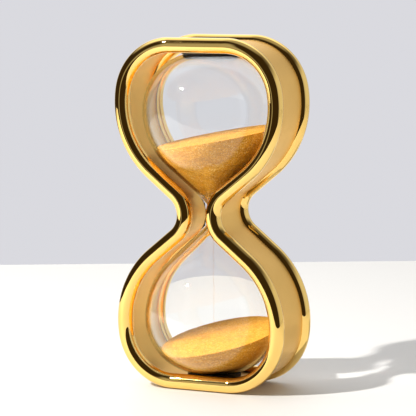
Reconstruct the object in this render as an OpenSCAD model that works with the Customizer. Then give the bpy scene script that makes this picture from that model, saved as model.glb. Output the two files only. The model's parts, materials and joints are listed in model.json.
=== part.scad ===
// Hourglass: two polished round-bar rims bent to a figure eight, a satin band between them,
// a blown glass vessel held between two black pads, and the sand inside it.
// The front is -Y. The object stands on Z = 0 and is centred on the Z axis.

/* [Frame] */
// Overall height, from foot to foot
overall_h = 160; // [158:1:162]
// Diameter of the round bar of each rim
bar_d = 7.1; // [6.6:0.1:7.2]
// Distance between the centre planes of the two rims
rim_spacing = 29.6; // [26:0.2:34]
// Length of the straight run across the top and the bottom
top_straight = 27.2; // [27.2:0.2:30]
// Bend radius of the four outer corners, at the bar's centreline
corner_r = 24.1; // [23:0.1:26]
// Angle that each corner bend turns through
corner_turn = 81; // [78:1:84]
// Bend radius of the long curve on each side
side_r = 40; // [38:0.5:42]
// Lean of the straight runs that lead to the waist, from the vertical
waist_lean = 50.7; // [50:0.1:52]
// Bend radius at the waist
waist_r = 12.5; // [12:0.1:14]
// Depth of the flats on which the rims stand
foot_flat = 0.15; // [0.1:0.05:0.3]

/* [Band] */
// Thickness of the band's sheet
band_t = 1.95; // [1.5:0.05:2.2]
// How far the band's outer face lies outside the bar's centreline
band_offset = 1.2; // [0.8:0.1:1.6]
// Depth of the groove in each bar that takes the band's edge
groove_depth = 1.2; // [0.8:0.1:2]

/* [Glass vessel] */
// Length of the vessel between its two flat ends
glass_len = 145.6; // [144:0.2:146]
// How far the neck lies below mid-height
neck_drop = 0.7; // [0:0.1:1]
// Outer radius of the neck
neck_r = 3.4; // [3:0.1:3.5]
// Profile radius of the curve from the neck into each cone
neck_bend_r = 13.3; // [13:0.1:14]
// Half-angle of the cones, from the axis
cone_angle = 47; // [46:0.5:48]
// Largest outer radius of each bulb
bulb_r = 31.5; // [30:0.1:32]
// Profile radius of the bulb between its cone and its widest level
bulb_low_r = 35.9; // [35:0.1:37]
// Radius of the flat on each end
end_flat_r = 11; // [9:0.5:12]
// Profile radius of the corner round each end's flat
end_corner_r = 5; // [4:0.1:7]
// Thickness of the wall
wall_t = 1.6; // [1.4:0.1:1.8]
// Radius of the hole through the neck
orifice_r = 0.9; // [0.8:0.05:1.2]

/* [Pads] */
// Radius of the pad above the vessel
top_pad_r = 13.6; // [11:0.1:13.6]
// Radius of the pad under the vessel
bottom_pad_r = 12.3; // [11:0.1:13.6]

/* [Sand] */
// Height of the upper sand above the neck, on the axis
upper_level = 34.8; // [26:0.2:44]
// Slope of the upper sand's surface
upper_tilt = 10; // [2:1:14]
// Direction in which the upper surface rises, turned from +X towards +Y
upper_heading = 18; // [0:1:90]
// Depth of the lower sand above the vessel's lower end, on the axis
lower_level = 15.4; // [12:0.2:22]
// Slope of the lower sand's surface
lower_tilt = 13; // [2:1:16]
// Direction in which the lower surface rises, turned from +X towards +Y
lower_heading = 41; // [0:1:90]
// Gap between the sand and the glass
sand_gap = 0.1; // [0.05:0.05:0.2]
// Radius of the falling stream
stream_r = 0.4; // [0.3:0.05:0.6]

/* [Hidden] */
$fn = 96;
gold = "#e8b850";
satin_gold = "#cfa868";
sand_colour = "#e0a548";

// The outline's centreline, in the XZ plane about the object's mid-height.
// A heading is the direction of travel, turned clockwise from +X.
mid_z = overall_h / 2;
bar_r = bar_d / 2;
half_h = mid_z - bar_r + foot_flat;
corner_centre = [top_straight / 2, half_h - corner_r];
corner_end = corner_centre + corner_r * [sin(corner_turn), cos(corner_turn)];
side_centre = corner_end - side_r * [sin(corner_turn), cos(corner_turn)];
lean_heading = 90 + waist_lean;
side_end = side_centre + side_r * [sin(lean_heading), cos(lean_heading)];
lean_run = (side_end[1] - waist_r * sin(waist_lean)) / cos(waist_lean);
waist_start = side_end - lean_run * [sin(waist_lean), cos(waist_lean)];
waist_centre_x = waist_start[0] + waist_r * cos(waist_lean);

// Band
band_inset = band_t - band_offset;
band_half_w = rim_spacing / 2 - bar_r + groove_depth;
facet_turn = 3; // the band's bends are drawn in steps of this angle

// Glass profile, as radius and height above the neck
neck_z = mid_z - neck_drop;
glass_half = glass_len / 2;
cone_foot_x = neck_r + neck_bend_r * (1 - cos(cone_angle));
cone_run = (bulb_r - bulb_low_r * (1 - cos(cone_angle)) - cone_foot_x) / sin(cone_angle);
wide_z = (neck_bend_r + bulb_low_r) * sin(cone_angle) + cone_run * cos(cone_angle);
shoulder_rise = glass_half - wide_z - end_corner_r;
shoulder_reach = bulb_r - end_flat_r - end_corner_r;
shoulder_arm = (pow(shoulder_rise, 2) + pow(shoulder_reach, 2)) / (2 * shoulder_reach);
shoulder_turn = asin(shoulder_rise / shoulder_arm);
shoulder_r = shoulder_arm + end_corner_r;
sand_inset = wall_t + sand_gap;
sand_neck_r = orifice_r - sand_gap;

// ---- sweeping a section along the outline ----
// A section's x points out of the outline and its y points to the front (-Y).

// Stands the outline's plane upright
module upright() {
    translate([0, 0, mid_z]) rotate([90, 0, 0]) children();
}

// A bend about centre, turning from one angle to another, counted from +X to +Z.
// At the waist the outside of the outline is the inside of the bend, so the section flips.
module bend(centre, radius, from, to, flip = 0) {
    upright()
        translate(centre)
            rotate([0, 0, from])
                rotate_extrude(angle = to - from)
                    translate([radius, 0])
                        mirror([flip, 0, 0])
                            children();
}

// A straight run of a section from a point, along a heading
module run(start, heading, length) {
    translate([start[0], 0, mid_z + start[1]])
        rotate([0, heading, 0])
            rotate([180, -90, 0])
                linear_extrude(height = length)
                    children();
}

// One quarter of the outline's right side, above the waist: corner, side and lean
module quarter() {
    bend(corner_centre, corner_r, 90 - corner_turn, 90) children();
    bend(side_centre, side_r, -waist_lean, 90 - corner_turn) children();
    run(side_end, lean_heading, lean_run) children();
}

// The mirror image of the children in the level of the waist
module below_waist() {
    translate([0, 0, mid_z]) mirror([0, 0, 1]) translate([0, 0, -mid_z]) children();
}

// The section carried all the way round the outline
module around_outline() {
    for (side = [0, 1]) mirror([side, 0, 0]) {
        quarter() children();
        below_waist() quarter() children();
        bend([waist_centre_x, 0], waist_r, 180 - waist_lean, 180 + waist_lean, flip = 1) children();
    }
    run([-top_straight / 2, half_h], 0, top_straight) children();
    below_waist() run([-top_straight / 2, half_h], 0, top_straight) children();
}

// ---- frame ----

// Section of the front bar, with the groove for the band's edge
module rim_section() {
    difference() {
        translate([0, rim_spacing / 2]) circle(bar_r);
        translate([-band_inset, 0]) square([band_t, band_half_w]);
    }
}

// The front rim, with flats underneath and on top, since it stands either way up
module rim() {
    block = 2 * overall_h;
    difference() {
        around_outline() rim_section();
        translate([-block / 2, -block / 2, -block]) cube(block);
        translate([-block / 2, -block / 2, overall_h]) cube(block);
    }
}

module front_rim() {
    color(gold) rim();
}

module rear_rim() {
    color(gold) mirror([0, 1, 0]) rim();
}

// Points along an arc, from one angle to another, counted from +X to +Z
function arc_points(centre, radius, from, to) =
    let (steps = ceil(abs(to - from) / facet_turn), turn = (to - from) / steps)
        [for (i = [0:steps]) centre + radius * [cos(from + i * turn), sin(from + i * turn)]];

// The outline from the end of the top straight to the waist, grown outward
function quarter_points(grow) = concat(
    arc_points(corner_centre, corner_r + grow, 90, 90 - corner_turn),
    arc_points(side_centre, side_r + grow, 90 - corner_turn, -waist_lean),
    arc_points([waist_centre_x, 0], waist_r - grow, 180 - waist_lean, 180));

// Points followed by their mirror image, in reverse order
function and_mirrored(points, flip) =
    concat(points, [for (i = [len(points) - 1:-1:0]) [points[i][0] * flip[0], points[i][1] * flip[1]]]);

module outline_area(grow) {
    right_side = and_mirrored(quarter_points(grow), [1, -1]);
    polygon(and_mirrored(right_side, [-1, 1]));
}

// One strip of sheet bent to the outline, its ends meeting under the base
module frame_band() {
    color(satin_gold)
        upright()
            translate([0, 0, -band_half_w])
                linear_extrude(height = 2 * band_half_w)
                    difference() {
                        outline_area(band_offset);
                        outline_area(-band_inset);
                    }
}

// ---- glass vessel ----

// Half of the vessel's profile above the neck, set in from the outer surface by inset,
// with a neck of its own radius that stays tangent to the cone
module half_profile(inset, neck_radius) {
    neck_bend = neck_bend_r
        + (inset - (neck_r - neck_radius) * cos(cone_angle)) / (1 - cos(cone_angle));
    foot = [neck_radius + neck_bend * (1 - cos(cone_angle)), neck_bend * sin(cone_angle)];
    low_centre = [bulb_r - bulb_low_r, wide_z];
    cone_top = low_centre + (bulb_low_r - inset) * [cos(cone_angle), -sin(cone_angle)];
    high_centre = [bulb_r - shoulder_r, wide_z];
    high_end = high_centre + (shoulder_r - inset) * [cos(shoulder_turn), sin(shoulder_turn)];
    end_centre = [end_flat_r, glass_half - end_corner_r];

    // Neck
    difference() {
        square(foot);
        translate([neck_radius + neck_bend, 0]) circle(neck_bend);
    }
    // Cone
    polygon([[0, foot[1]], foot, cone_top, [0, cone_top[1]]]);
    // Bulb up to its widest level
    intersection() {
        translate(low_centre) circle(bulb_low_r - inset);
        translate([0, cone_top[1]]) square([bulb_r, wide_z - cone_top[1]]);
    }
    // Shoulder
    intersection() {
        union() {
            translate(high_centre) circle(shoulder_r - inset);
            translate([0, wide_z]) square([high_centre[0], shoulder_r - inset]);
        }
        translate([0, wide_z]) square([bulb_r, high_end[1] - wide_z]);
    }
    // Corner round the end's flat
    intersection() {
        union() {
            translate(end_centre) circle(end_corner_r - inset);
            translate([0, high_end[1]]) square([end_flat_r, end_corner_r]);
        }
        translate([0, high_end[1]]) square([bulb_r, glass_half - inset - high_end[1]]);
    }
}

// The vessel's whole profile, both bulbs
module vessel_profile(inset, neck_radius) {
    for (half = [0, 1]) mirror([0, half, 0])
        half_profile(inset, neck_radius);
}

module glass_vessel() {
    color([0.9, 0.95, 1, 0.3])
        translate([0, 0, neck_z])
            rotate_extrude()
                difference() {
                    vessel_profile(0, neck_r);
                    vessel_profile(wall_t, orifice_r);
                }
}

// ---- pads ----

module top_pad() {
    pad_z = neck_z + glass_half;
    color("#101010")
        translate([0, 0, pad_z])
            cylinder(r = top_pad_r, h = mid_z + half_h - band_inset - pad_z);
}

module bottom_pad() {
    pad_z = mid_z - half_h + band_inset;
    color("#101010")
        translate([0, 0, pad_z])
            cylinder(r = bottom_pad_r, h = neck_z - glass_half - pad_z);
}

// ---- sand ----

// Everything under a sloping surface that crosses the axis at a level
module below_surface(level, tilt, heading) {
    block = 2 * overall_h;
    translate([0, 0, level])
        rotate([0, 0, heading])
            rotate([0, -tilt, 0])
                translate([-block / 2, -block / 2, -block])
                    cube(block);
}

module below_lower_surface() {
    below_surface(neck_z - glass_half + lower_level, lower_tilt, lower_heading);
}

// The room that sand can fill in one bulb: the upper one, or the lower one if half is 1
module bulb_room(half) {
    translate([0, 0, neck_z])
        mirror([0, 0, half])
            rotate_extrude()
                half_profile(sand_inset, sand_neck_r);
}

module upper_sand() {
    color(sand_colour)
        intersection() {
            bulb_room(0);
            below_surface(neck_z + upper_level, upper_tilt, upper_heading);
        }
}

module lower_sand() {
    color(sand_colour)
        intersection() {
            bulb_room(1);
            below_lower_surface();
        }
}

// The stream falls from the neck to the lower sand
module sand_stream() {
    color(sand_colour)
        difference() {
            translate([0, 0, neck_z - glass_half])
                cylinder(r = stream_r, h = glass_half);
            below_lower_surface();
        }
}

front_rim();
rear_rim();
frame_band();
glass_vessel();
top_pad();
bottom_pad();
upper_sand();
lower_sand();
sand_stream();
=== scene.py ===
"""Hourglass: the looks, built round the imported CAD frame. All lengths are in metres."""

import json
import math
import random

import bpy
import numpy as np
from mathutils import Matrix, Vector, noise

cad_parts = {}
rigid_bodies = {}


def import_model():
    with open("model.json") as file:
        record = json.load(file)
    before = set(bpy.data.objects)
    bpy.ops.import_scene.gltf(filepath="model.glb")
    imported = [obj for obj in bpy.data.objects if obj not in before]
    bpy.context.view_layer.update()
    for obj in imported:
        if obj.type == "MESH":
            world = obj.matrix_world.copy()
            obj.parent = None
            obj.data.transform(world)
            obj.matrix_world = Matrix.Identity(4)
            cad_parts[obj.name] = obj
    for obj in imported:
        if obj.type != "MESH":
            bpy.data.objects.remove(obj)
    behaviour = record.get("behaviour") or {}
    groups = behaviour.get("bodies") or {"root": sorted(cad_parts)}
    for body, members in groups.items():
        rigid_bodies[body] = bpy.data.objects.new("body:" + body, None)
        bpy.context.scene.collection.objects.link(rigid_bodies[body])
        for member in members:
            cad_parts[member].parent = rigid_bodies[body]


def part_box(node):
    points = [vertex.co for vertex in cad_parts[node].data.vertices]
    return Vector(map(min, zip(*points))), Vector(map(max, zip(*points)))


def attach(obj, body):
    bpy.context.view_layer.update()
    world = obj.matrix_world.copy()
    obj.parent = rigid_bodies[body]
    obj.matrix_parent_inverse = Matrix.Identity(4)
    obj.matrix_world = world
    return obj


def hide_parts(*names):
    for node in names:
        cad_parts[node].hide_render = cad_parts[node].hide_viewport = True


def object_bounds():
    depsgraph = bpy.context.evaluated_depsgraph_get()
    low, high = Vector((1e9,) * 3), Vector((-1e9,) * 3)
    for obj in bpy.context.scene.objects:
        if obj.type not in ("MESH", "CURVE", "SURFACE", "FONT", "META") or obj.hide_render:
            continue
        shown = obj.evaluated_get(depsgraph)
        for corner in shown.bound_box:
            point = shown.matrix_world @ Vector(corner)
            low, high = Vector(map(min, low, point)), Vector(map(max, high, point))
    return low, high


MM = 0.001

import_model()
cad_box = [list(corner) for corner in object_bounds()]


# ---- sizes ----

# The frame's outline is three tangent arcs and a straight in each quarter, in the XZ plane about mid-height.
BAR_R = 3.55 * MM
TOP_STRAIGHT = 27.2 * MM
CORNER_R = 24.1 * MM
CORNER_TURN = math.radians(81)
SIDE_R = 40 * MM
WAIST_LEAN = math.radians(50.7)
WAIST_R = 12.5 * MM
BAND_T = 1.95 * MM
BAND_OFFSET = 1.2 * MM
BAND_INSET = BAND_T - BAND_OFFSET
FOOT_CUT = 0.15 * MM    # how deep the flats under and over the bars are cut

# The vessel's profile, as radius and height above the neck
NECK_R = 3.4 * MM
NECK_BEND_R = 13.3 * MM
CONE_ANGLE = math.radians(47)
BULB_R = 31.5 * MM
BULB_LOW_R = 35.9 * MM
END_FLAT_R = 11 * MM
END_CORNER_R = 5 * MM
WALL_T = 1.6 * MM
ORIFICE_R = 0.9 * MM
SAND_GAP = 0.1 * MM

# Levels, from the frame
OVERALL_H = cad_box[1][2]
MID_Z = OVERALL_H / 2
RIM_Y = (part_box("rear_rim")[0].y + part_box("rear_rim")[1].y) / 2
BAND_HALF_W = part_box("frame_band")[1].y
GLASS_LOW, GLASS_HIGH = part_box("glass_vessel")
NECK_Z = (GLASS_LOW.z + GLASS_HIGH.z) / 2
GLASS_HALF = (GLASS_HIGH.z - GLASS_LOW.z) / 2
HALF_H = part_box("front_rim")[1].z - MID_Z - BAR_R + FOOT_CUT

# Sand surfaces: level on the axis, slope, the direction in which they rise, and the height of their ripples
UPPER_LEVEL = NECK_Z + 34.8 * MM
UPPER_TILT = math.radians(10)
UPPER_HEADING = math.radians(18)
UPPER_RIPPLE = 0.25 * MM
LOWER_LEVEL = NECK_Z - GLASS_HALF + 15.4 * MM
LOWER_TILT = math.radians(13)
LOWER_HEADING = math.radians(41)
LOWER_RIPPLE = 0.35 * MM

# How finely curves are drawn
ARC_STEP = math.radians(1.5)
BAR_SEGMENTS = 48
BAND_ROWS = 13
VESSEL_SEGMENTS = 160
PAD_SEGMENTS = 96
SAND_SEGMENTS = 144
SAME_POINT = 1e-6


# ---- mesh helpers ----

def add_mesh(name, verts, faces, material, sharp_angle=None):
    """A smooth-shaded object, with edges sharper than sharp_angle left crisp."""
    mesh = bpy.data.meshes.new(name)
    mesh.from_pydata([tuple(v) for v in verts], [], faces)
    mesh.validate()
    mesh.materials.append(material)
    for polygon in mesh.polygons:
        polygon.use_smooth = True
    if sharp_angle is not None:
        mesh.set_sharp_from_angle(angle=sharp_angle)
    obj = bpy.data.objects.new(name, mesh)
    bpy.context.scene.collection.objects.link(obj)
    return obj


def arc(centre, radius, start, end, step):
    """Points and outward directions along an arc, angles from +X to +Z."""
    count = max(2, math.ceil(abs(end - start) / step))
    angles = np.linspace(start, end, count + 1)
    ring = np.stack([np.cos(angles), np.sin(angles)], 1)
    return np.array(centre) + radius * ring, ring


def outline():
    """The whole centreline, clockwise from the top, and its outward directions."""
    corner = np.array([TOP_STRAIGHT / 2, HALF_H - CORNER_R])
    turn = np.array([math.sin(CORNER_TURN), math.cos(CORNER_TURN)])
    side = corner + (CORNER_R - SIDE_R) * turn
    right_angle = math.pi / 2
    parts = [
        arc(corner, CORNER_R, right_angle, right_angle - CORNER_TURN, ARC_STEP),
        arc(side, SIDE_R, right_angle - CORNER_TURN, -WAIST_LEAN, ARC_STEP),
    ]
    lean_start = parts[1][0][-1]
    lean_end_z = WAIST_R * math.sin(WAIST_LEAN)
    lean_x = lean_start[0] - (lean_start[1] - lean_end_z) * math.tan(WAIST_LEAN)
    waist_x = lean_x + WAIST_R * math.cos(WAIST_LEAN)
    lean = np.linspace(lean_start, [lean_x, lean_end_z], 12)[1:-1]
    lean_out = np.tile([math.cos(WAIST_LEAN), -math.sin(WAIST_LEAN)], (len(lean), 1))
    parts.append((lean, lean_out))
    waist = arc([waist_x, 0], WAIST_R, math.pi - WAIST_LEAN, math.pi, ARC_STEP)
    parts.append((waist[0], -waist[1]))
    points = np.vstack([p[0] for p in parts])
    out = np.vstack([p[1] for p in parts])
    keep = np.append(True, np.linalg.norm(np.diff(points, axis=0), axis=1) > SAME_POINT)
    points, out = points[keep], out[keep]
    flip_z = np.array([1, -1])
    points = np.vstack([points, (points * flip_z)[-2::-1]])
    out = np.vstack([out, (out * flip_z)[-2::-1]])
    flip_x = np.array([-1, 1])
    return np.vstack([points, (points * flip_x)[::-1]]), np.vstack([out, (out * flip_x)[::-1]])


def sweep(section):
    """Carries a closed section (outward, +Y) round the outline. Returns vertices and faces."""
    points, out = outline()
    verts = []
    for p, o in zip(points, out):
        for grow, y in section:
            x, z = p + grow * o
            verts.append((x, y, min(max(MID_Z + z, 0), OVERALL_H)))
    rings, n = len(points), len(section)
    faces = []
    for i in range(rings):
        j = (i + 1) % rings
        for k in range(n):
            m = (k + 1) % n
            faces.append((i * n + k, i * n + m, j * n + m, j * n + k))
    return verts, faces


def revolve(profile, count):
    """Turns a profile of (radius, z), which starts and ends on the axis, about the Z axis."""
    verts = [(0, 0, profile[0][1])]
    for radius, z in profile[1:-1]:
        for j in range(count):
            angle = 2 * math.pi * j / count
            verts.append((radius * math.cos(angle), radius * math.sin(angle), z))
    verts.append((0, 0, profile[-1][1]))
    rows = len(profile) - 2
    last = len(verts) - 1
    faces = []
    for j in range(count):
        k = (j + 1) % count
        faces.append((0, 1 + k, 1 + j))
        for i in range(rows - 1):
            a, b = 1 + i * count, 1 + (i + 1) * count
            faces.append((a + j, a + k, b + k, b + j))
        top = 1 + (rows - 1) * count
        faces.append((top + j, top + k, last))
    return verts, faces


# ---- materials ----

class Nodes:
    """A short way to write a node tree."""

    def __init__(self, tree):
        self.tree = tree

    def add(self, kind, inputs=None, **settings):
        node = self.tree.nodes.new(kind)
        for key, value in settings.items():
            setattr(node, key, value)
        for key, value in (inputs or {}).items():
            if isinstance(value, bpy.types.NodeSocket):
                self.tree.links.new(value, node.inputs[key])
            else:
                node.inputs[key].default_value = value
        return node

    def mix(self, factor, a, b):
        """Blends two colours, each a socket or three numbers."""
        node = self.add("ShaderNodeMix", data_type="RGBA")
        for index, value in ((0, factor), (6, a), (7, b)):
            if isinstance(value, bpy.types.NodeSocket):
                self.tree.links.new(value, node.inputs[index])
            else:
                node.inputs[index].default_value = (*value, 1)
        return node.outputs[2]

    def noise(self, scale, detail=3.0, roughness=0.5, vector=None):
        """Soft random values, mostly between 0.3 and 0.7. The scale is in waves per metre."""
        coords = vector or self.add("ShaderNodeTexCoord").outputs["Object"]
        inputs = {"Vector": coords, "Scale": scale, "Detail": detail, "Roughness": roughness}
        return self.add("ShaderNodeTexNoise", inputs).outputs["Fac"]

    def spread(self, value, low, high, from_low=0.3, from_high=0.7):
        """Carries from_low..from_high over to low..high, and holds it there outside that range."""
        inputs = {"Value": value, "From Min": from_low, "From Max": from_high,
                  "To Min": low, "To Max": high}
        return self.add("ShaderNodeMapRange", inputs).outputs["Result"]

    def ramp(self, value, stops):
        """Colours by value, from a list of (value, colour)."""
        node = self.add("ShaderNodeValToRGB", {"Fac": value})
        while len(node.color_ramp.elements) < len(stops):
            node.color_ramp.elements.new(0.5)
        for element, (place, colour) in zip(node.color_ramp.elements, stops):
            element.position = place
            element.color = (*colour, 1)
        return node.outputs["Color"]

    def bump(self, height, strength, distance, normal=None):
        inputs = {"Height": height, "Strength": strength, "Distance": distance}
        if normal is not None:
            inputs["Normal"] = normal
        return self.add("ShaderNodeBump", inputs).outputs["Normal"]


def new_material(name):
    """A material, its nodes and its shader."""
    material = bpy.data.materials.new(name)
    material.use_nodes = True
    nodes = Nodes(material.node_tree)
    return material, nodes, material.node_tree.nodes["Principled BSDF"]


def link(nodes, output, shader, key):
    """Feeds an output to one of the shader's sockets."""
    nodes.tree.links.new(output, shader.inputs[key])


def polished_gold():
    """Mirror plating, with a faint haze and the slight waves of a bent bar."""
    material, nodes, shader = new_material("polished_gold")
    shader.inputs["Metallic"].default_value = 1
    tone = nodes.ramp(nodes.noise(60, 2), [(0.35, (0.99, 0.66, 0.195)), (0.65, (1.0, 0.695, 0.225))])
    link(nodes, tone, shader, "Base Color")
    haze = nodes.spread(nodes.noise(900, 4, 0.7), 0.012, 0.035)
    link(nodes, haze, shader, "Roughness")
    wave = nodes.bump(nodes.noise(70, 2, 0.4), 0.25, 0.3 * MM)
    fine = nodes.bump(nodes.noise(3500, 2), 0.03, 0.02 * MM, wave)
    link(nodes, fine, shader, "Normal")
    return material


def satin_gold():
    """Brushed sheet, too fine-grained to show lines."""
    material, nodes, shader = new_material("satin_gold")
    shader.inputs["Metallic"].default_value = 1
    tone = nodes.ramp(nodes.noise(45, 3), [(0.3, (0.86, 0.53, 0.135)), (0.7, (0.92, 0.575, 0.16))])
    link(nodes, tone, shader, "Base Color")
    grain = nodes.noise(2600, 3, 0.6)
    link(nodes, nodes.spread(grain, 0.34, 0.46), shader, "Roughness")
    link(nodes, nodes.bump(grain, 0.15, 0.03 * MM), shader, "Normal")
    return material


def clear_glass():
    """Blown glass, a little wavy."""
    material, nodes, shader = new_material("clear_glass")
    shader.inputs["Base Color"].default_value = (0.985, 0.992, 0.99, 1)
    shader.inputs["Transmission Weight"].default_value = 1
    shader.inputs["IOR"].default_value = 1.47
    shader.inputs["Roughness"].default_value = 0
    wave = nodes.bump(nodes.noise(60, 2, 0.4), 0.08, 0.5 * MM)
    link(nodes, wave, shader, "Normal")
    return material


def black_pad():
    """Matt black rubber or felt."""
    material, nodes, shader = new_material("black_pad")
    grain = nodes.noise(1800, 4, 0.65)
    tone = nodes.ramp(grain, [(0.3, (0.006, 0.006, 0.006)), (0.7, (0.02, 0.02, 0.021))])
    link(nodes, tone, shader, "Base Color")
    link(nodes, nodes.spread(grain, 0.55, 0.8), shader, "Roughness")
    link(nodes, nodes.bump(grain, 0.4, 0.08 * MM), shader, "Normal")
    return material


def golden_sand():
    """Grains of mixed gold, drifting in tone, with faint level layers."""
    material, nodes, shader = new_material("golden_sand")
    coords = nodes.add("ShaderNodeTexCoord").outputs["Object"]
    grains = nodes.add("ShaderNodeTexVoronoi", {"Vector": coords, "Scale": 2600.0})
    tint = nodes.add("ShaderNodeSeparateColor", {"Color": grains.outputs["Color"]}).outputs["Red"]
    grain_colour = nodes.ramp(tint, [(0.0, (0.55, 0.20, 0.006)), (0.5, (0.74, 0.32, 0.012)),
                                     (0.85, (0.90, 0.46, 0.04)), (1.0, (1.0, 0.74, 0.28))])
    drift = nodes.spread(nodes.noise(140, 4, 0.6, coords), 0.0, 0.45)
    drifted = nodes.mix(drift, grain_colour, (0.75, 0.33, 0.012))
    stretch = nodes.add("ShaderNodeMapping", {"Vector": coords, "Scale": (0.25, 0.25, 1.6)})
    flat = stretch.outputs["Vector"]
    layers = nodes.spread(nodes.noise(420, 3, 0.6, flat), 0.0, 0.55, 0.5, 0.68)
    link(nodes, nodes.mix(layers, drifted, (0.50, 0.19, 0.006)), shader, "Base Color")
    shader.inputs["Roughness"].default_value = 0.75
    height = nodes.add("ShaderNodeMath", {0: grains.outputs["Distance"], 1: 1.0}, operation="SUBTRACT")
    link(nodes, nodes.bump(height.outputs["Value"], 0.5, 0.15 * MM), shader, "Normal")
    return material


# ---- frame pieces ----

def replace_node(piece, node):
    """Shows a piece in place of its CAD node."""
    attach(piece, "root")
    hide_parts(node)


def make_rims(material):
    """Two round bars bent to the outline."""
    for name, node, y in (("front_rim_bar", "front_rim", -RIM_Y), ("rear_rim_bar", "rear_rim", RIM_Y)):
        angles = [2 * math.pi * k / BAR_SEGMENTS for k in range(BAR_SEGMENTS)]
        section = [(BAR_R * math.cos(a), y + BAR_R * math.sin(a)) for a in angles]
        replace_node(add_mesh(name, *sweep(section), material), node)


def make_band(material):
    """The sheet between the bars. Its edges run into them."""
    across = np.linspace(-BAND_HALF_W, BAND_HALF_W, BAND_ROWS)
    section = [(BAND_OFFSET, y) for y in across] + [(-BAND_INSET, y) for y in across[::-1]]
    band = add_mesh("band_sheet", *sweep(section), material, sharp_angle=math.radians(40))
    replace_node(band, "frame_band")


# ---- glass vessel ----

def half_profile(inset, neck_radius):
    """Points of (radius, height above the neck) up one bulb, set in from the outer surface."""
    cos_c, sin_c = math.cos(CONE_ANGLE), math.sin(CONE_ANGLE)
    neck_bend = NECK_BEND_R + (inset - (NECK_R - neck_radius) * cos_c) / (1 - cos_c)
    foot_x = NECK_R + NECK_BEND_R * (1 - cos_c)
    run = (BULB_R - BULB_LOW_R * (1 - cos_c) - foot_x) / sin_c
    wide_z = (NECK_BEND_R + BULB_LOW_R) * sin_c + run * cos_c
    rise = GLASS_HALF - wide_z - END_CORNER_R
    reach = BULB_R - END_FLAT_R - END_CORNER_R
    arm = (rise ** 2 + reach ** 2) / (2 * reach)
    turn = math.asin(rise / arm)
    shoulder_r = arm + END_CORNER_R
    parts = [
        arc([neck_radius + neck_bend, 0], neck_bend, math.pi, math.pi - CONE_ANGLE, ARC_STEP)[0],
        arc([BULB_R - BULB_LOW_R, wide_z], BULB_LOW_R - inset, -CONE_ANGLE, 0, ARC_STEP)[0],
        arc([BULB_R - shoulder_r, wide_z], shoulder_r - inset, 0, turn, ARC_STEP)[0],
        arc([END_FLAT_R, GLASS_HALF - END_CORNER_R], END_CORNER_R - inset, turn, math.pi / 2,
            4 * ARC_STEP)[0],
        np.array([[END_FLAT_R / 2, GLASS_HALF - inset], [0, GLASS_HALF - inset]]),
    ]
    points = np.vstack(parts)
    keep = np.append(True, np.linalg.norm(np.diff(points, axis=0), axis=1) > SAME_POINT)
    return points[keep]


def whole_profile(inset, neck_radius):
    """Both bulbs, from the lower end on the axis to the upper end on the axis."""
    upper = half_profile(inset, neck_radius)
    lower = (upper * np.array([1, -1]))[:0:-1]
    return [(r, NECK_Z + z) for r, z in np.vstack([lower, upper])]


def make_vessel(material):
    """One closed wall of glass: an outer skin and an inner one facing the other way."""
    outer_verts, outer_faces = revolve(whole_profile(0, NECK_R), VESSEL_SEGMENTS)
    inner_verts, inner_faces = revolve(whole_profile(WALL_T, ORIFICE_R), VESSEL_SEGMENTS)
    shift = len(outer_verts)
    inner = [tuple(reversed([i + shift for i in face])) for face in inner_faces]
    vessel = add_mesh("blown_vessel", outer_verts + inner_verts, outer_faces + inner, material)
    vessel.visible_shadow = False
    replace_node(vessel, "glass_vessel")


# ---- pads ----

def make_pads(material):
    """Discs with rounded edges, sized from the frame."""
    edge = 0.5 * MM
    corner_step = math.radians(18)
    for name, node in (("top_pad_disc", "top_pad"), ("bottom_pad_disc", "bottom_pad")):
        low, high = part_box(node)
        radius = (high.x - low.x) / 2
        lower_edge = arc([radius - edge, low.z + edge], edge, -math.pi / 2, 0, corner_step)[0]
        upper_edge = arc([radius - edge, high.z - edge], edge, 0, math.pi / 2, corner_step)[0]
        inner = radius * 0.6
        profile = [(0, low.z), (inner, low.z), *lower_edge, *upper_edge, (inner, high.z), (0, high.z)]
        pad = add_mesh(name, *revolve([tuple(p) for p in profile], PAD_SEGMENTS), material, math.radians(40))
        replace_node(pad, node)


# ---- sand ----

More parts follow.
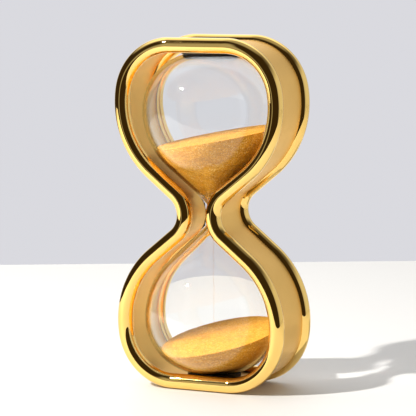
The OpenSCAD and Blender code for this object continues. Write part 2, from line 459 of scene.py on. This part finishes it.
def sand_body(profile, level, tilt, heading, ripple):
    """Sand that fills the bottom of a profile of (radius, z), under a sloping, slightly uneven surface."""
    turns, side_rows, top_rows = SAND_SEGMENTS, 60, 30
    ripples_per_m = 160
    calm_edge = 6    # ripples reach full height a sixth of the way in from the glass
    profile = np.array(profile)
    verts, faces = [(0, 0, profile[0][1])], []
    lengths = np.append(0, np.cumsum(np.linalg.norm(np.diff(profile, axis=0), axis=1)))
    fine = np.linspace(0, lengths[-1], 1500)
    fine_r, fine_z = np.interp(fine, lengths, profile[:, 0]), np.interp(fine, lengths, profile[:, 1])
    columns = []
    for j in range(turns):
        angle = 2 * math.pi * j / turns
        slope = math.tan(tilt) * math.cos(angle - heading)
        above = np.nonzero(fine_z > level + fine_r * slope)[0]
        end = fine[above[0]]
        s = np.linspace(0, end, side_rows + 1)[1:]
        side = [(np.interp(t, lengths, profile[:, 0]), np.interp(t, lengths, profile[:, 1])) for t in s]
        edge_r, edge_z = side[-1]
        column = list(side)
        for i in range(1, top_rows):
            share = 1 - i / top_rows
            r = edge_r * share
            z = level + (edge_z - level) * share
            point = Vector((r * math.cos(angle), r * math.sin(angle), 0)) * ripples_per_m
            fade = min(1, (1 - share) * calm_edge)
            column.append((r, z + fade * ripple * (noise.noise(point) + 0.5 * noise.noise(point * 3))))
        columns.append([(r * math.cos(angle), r * math.sin(angle), z) for r, z in column])
    rows = side_rows + top_rows - 1
    for i in range(rows):
        verts.extend(column[i] for column in columns)
    verts.append((0, 0, level))
    last = len(verts) - 1
    for j in range(turns):
        k = (j + 1) % turns
        faces.append((0, 1 + k, 1 + j))
        for i in range(rows - 1):
            a, b = 1 + i * turns, 1 + (i + 1) * turns
            faces.append((a + j, a + k, b + k, b + j))
        top = 1 + (rows - 1) * turns
        faces.append((top + j, top + k, last))
    return verts, faces


def make_sand(material):
    """The filling of both bulbs, just clear of the glass."""
    upper = half_profile(WALL_T + SAND_GAP, ORIFICE_R - SAND_GAP)
    room = [(0, NECK_Z)] + [(r, NECK_Z + z) for r, z in upper]
    body = sand_body(room, UPPER_LEVEL, UPPER_TILT, UPPER_HEADING, UPPER_RIPPLE)
    upper_piece = add_mesh("upper_sand_fill", *body, material, math.radians(35))
    replace_node(upper_piece, "upper_sand")
    room = [(r, NECK_Z - z) for r, z in upper[::-1]]
    body = sand_body(room, LOWER_LEVEL, LOWER_TILT, LOWER_HEADING, LOWER_RIPPLE)
    lower_piece = add_mesh("lower_sand_fill", *body, material, math.radians(35))
    replace_node(lower_piece, "lower_sand")
    return upper_piece, lower_piece


def make_stream(material):
    """Single grains falling from the neck, further apart as they speed up."""
    rng = random.Random(7)
    low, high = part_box("sand_stream")
    fall = high.z - low.z
    grain_r = 0.13 * MM
    reach = (high.x - low.x) / 2 - grain_r
    corners = [(1, 0, 0), (-1, 0, 0), (0, 1, 0), (0, -1, 0), (0, 0, 1), (0, 0, -1)]
    sides = [(0, 2, 4), (2, 1, 4), (1, 3, 4), (3, 0, 4), (2, 0, 5), (1, 2, 5), (3, 1, 5), (0, 3, 5)]
    verts, faces = [], []
    count = 280
    thinning = 1.6
    for i in range(count):
        depth = fall * (i / count) ** thinning
        spread = reach * math.sqrt(rng.random())
        angle = rng.uniform(0, 2 * math.pi)
        centre = Vector((spread * math.cos(angle), spread * math.sin(angle), high.z - grain_r - depth))
        centre.z = max(centre.z, low.z + grain_r)
        size = grain_r * rng.uniform(0.6, 1)
        base = len(verts)
        turn = (Matrix.Rotation(rng.uniform(0, math.pi), 3, "Z")
                @ Matrix.Rotation(rng.uniform(0, math.pi), 3, "X"))
        verts.extend(centre + turn @ (Vector(c) * size) for c in corners)
        faces.extend(tuple(base + k for k in side) for side in sides)
    grains = add_mesh("falling_grains", verts, faces, material)
    replace_node(grains, "sand_stream")
    return grains


# ---- studio ----

CAMERA_AZIMUTH = math.radians(25.28)
CAMERA_ELEVATION = math.radians(7.53)
CAMERA_ROLL = math.radians(-0.57)
CAMERA_DISTANCE = 1006.8 * MM
TARGET_SHIFT = (-2.23 * MM, 1.81 * MM)
LENS_MM = 191.3

# The floor, from the camera's point of view: half its width, and how far it reaches in front and behind
FLOOR_HALF_W = 1.2
FLOOR_FRONT = -0.27
FLOOR_BEHIND = 0.363


def make_camera():
    """A long lens, right of the front and a little above, at the photograph's viewing angle."""
    centre = Vector((0, 0, MID_Z))
    across = Vector((math.cos(CAMERA_AZIMUTH), math.sin(CAMERA_AZIMUTH), 0))
    back = Vector((math.sin(CAMERA_AZIMUTH) * math.cos(CAMERA_ELEVATION),
                   -math.cos(CAMERA_AZIMUTH) * math.cos(CAMERA_ELEVATION),
                   math.sin(CAMERA_ELEVATION)))
    place = centre + CAMERA_DISTANCE * back
    target = centre + TARGET_SHIFT[0] * across + Vector((0, 0, TARGET_SHIFT[1]))
    look = (target - place).normalized()
    right = look.cross(Vector((0, 0, 1))).normalized()
    up = right.cross(look)
    c, s = math.cos(CAMERA_ROLL), math.sin(CAMERA_ROLL)
    right, up = c * right + s * up, c * up - s * right
    data = bpy.data.cameras.new("camera")
    data.lens = LENS_MM
    data.sensor_width = 36
    data.clip_end = 20
    camera = bpy.data.objects.new("camera", data)
    turn = Matrix((right, up, -look)).transposed().to_4x4()
    camera.matrix_world = Matrix.Translation(place) @ turn
    bpy.context.scene.collection.objects.link(camera)
    bpy.context.scene.camera = camera


def plain(name, colour, roughness):
    """A plain colour with a barely visible mottle."""
    material, nodes, shader = new_material(name)
    tone = nodes.spread(nodes.noise(500, 5, 0.7), 0.985, 1.0)
    link(nodes, nodes.mix(tone, tuple(0.9 * c for c in colour), colour), shader, "Base Color")
    shader.inputs["Roughness"].default_value = roughness
    return material


def make_stage():
    """A plain floor that ends some way in front of the object and behind it, square to the camera."""
    across = Vector((math.cos(CAMERA_AZIMUTH), math.sin(CAMERA_AZIMUTH), 0))
    away = Vector((-across.y, across.x, 0))
    corners = [FLOOR_HALF_W * side * across + y * away for side, y in
               ((-1, FLOOR_FRONT), (1, FLOOR_FRONT), (1, FLOOR_BEHIND), (-1, FLOOR_BEHIND))]
    white = plain("floor_white", (0.775, 0.772, 0.765), 0.6)
    floor = add_mesh("floor", corners, [(0, 1, 2, 3)], white)


# How bright the room is by heading (degrees from the front, positive to the right), low down and high up
DIM = 0.017
ROOM_LOW = ((-180, 0.25), (-150, 0.95), (-112, DIM), (-32, DIM), (-27, 0.3), (-22, 0.3), (-17, DIM),
            (70, DIM), (75, 0.4), (100, 0.52), (168, 0.5), (180, 0.25))
ROOM_HIGH = ((-180, 1.1), (-84, 0.95), (-66, 0.3), (-52, DIM), (60, DIM), (130, 0.15), (155, 0.6),
             (180, 1.1))
CEILING = 0.28
LOW_ENDS, HIGH_STARTS = 0.42, 0.72    # as sines of the elevation
WALLS_END, CEILING_STARTS = 0.86, 0.97
WARM_BELOW = 0.1
WARM = (1.5, 1.0, 0.45)
ROOM_STRENGTH = 2.8
SOFT_STRENGTH = 3.7    # as matt surfaces see the room, so that the shadow stays pale
BACKDROP = (0.70, 0.70, 0.74)


def room_colour(level):
    """Half the level, which keeps the ramps' colours under 1, and warmer where the room is dim."""
    warmth = WARM if level < WARM_BELOW else (1, 1, 1)
    return tuple(level / 2 * c for c in warmth)


def make_world():
    """A room that is dim in front of the object and bright at the right, the rear left and high up."""
    world = bpy.data.worlds.new("studio")
    bpy.context.scene.world = world
    world.use_nodes = True
    nodes = Nodes(world.node_tree)
    direction = nodes.add("ShaderNodeTexCoord").outputs["Generated"]
    parts = nodes.add("ShaderNodeSeparateXYZ", {"Vector": direction}).outputs
    front = nodes.add("ShaderNodeMath", {0: parts["Y"], 1: -1.0}, operation="MULTIPLY").outputs["Value"]
    heading = nodes.add("ShaderNodeMath", {0: parts["X"], 1: front}, operation="ARCTAN2").outputs["Value"]
    place = nodes.spread(heading, 0.0, 1.0, -math.pi, math.pi)
    low, high = (nodes.ramp(place, [((a + 180) / 360, room_colour(level)) for a, level in room])
                 for room in (ROOM_LOW, ROOM_HIGH))
    rise = nodes.spread(parts["Z"], 0.0, 1.0, LOW_ENDS, HIGH_STARTS)
    walls = nodes.mix(rise, low, high)
    top = nodes.spread(parts["Z"], 0.0, 1.0, WALLS_END, CEILING_STARTS)
    room = nodes.mix(top, walls, (CEILING / 2,) * 3)
    # Seen directly or through the glass, the backdrop is plain. Only mirrors and matt surfaces see the room.
    path = nodes.add("ShaderNodeLightPath").outputs
    direct = nodes.add("ShaderNodeMath", {0: path["Is Camera Ray"], 1: path["Is Transmission Ray"]},
                       operation="MAXIMUM").outputs["Value"]
    shown = nodes.mix(direct, room, tuple(c / ROOM_STRENGTH for c in BACKDROP))
    background = world.node_tree.nodes["Background"]
    world.node_tree.links.new(shown, background.inputs["Color"])
    strength = nodes.spread(path["Is Diffuse Ray"], ROOM_STRENGTH, SOFT_STRENGTH, 0.0, 1.0)
    world.node_tree.links.new(strength, background.inputs["Strength"])


def make_light(name, place, target, size, power, colour=(1, 1, 1)):
    """A round lamp, its size in metres and its power in watts."""
    data = bpy.data.lights.new(name, "AREA")
    data.shape = "DISK"
    data.size = size
    data.energy = power
    data.color = colour
    lamp = bpy.data.objects.new(name, data)
    lamp.location = place
    lamp.rotation_euler = (Vector(target) - Vector(place)).to_track_quat("-Z", "Y").to_euler()
    bpy.context.scene.collection.objects.link(lamp)
    return lamp


def make_lights(sand_pieces):
    """A small key at the front left, which throws the shadow, and a broad soft lamp.

    Only the sand is lit by the soft lamp, and it alone isn't lit by the key.
    """
    key = make_light("key", (-0.60, -0.75, 0.94), (0, 0, 0.08), 0.05, 22, (1, 0.97, 0.92))
    soft = make_light("sand_light", (-0.75, -0.85, 0.55), (0, 0, 0.06), 1.0, 20)
    soft.visible_glossy = soft.visible_transmission = False
    sand = bpy.data.collections.new("sand")
    others = bpy.data.collections.new("all_but_sand")
    for obj in bpy.context.scene.objects:
        if obj.type == "MESH":
            (sand if obj in sand_pieces else others).objects.link(obj)
    key.light_linking.receiver_collection = others
    soft.light_linking.receiver_collection = sand


def build():
    """The whole scene round the frame."""
    bpy.context.scene.view_settings.view_transform = "Standard"
    bpy.context.scene.cycles.sample_clamp_indirect = 4
    make_camera()
    make_stage()
    make_world()
    sand = golden_sand()
    make_rims(polished_gold())
    make_band(satin_gold())
    make_vessel(clear_glass())
    make_pads(black_pad())
    make_lights([*make_sand(sand), make_stream(sand)])


build()
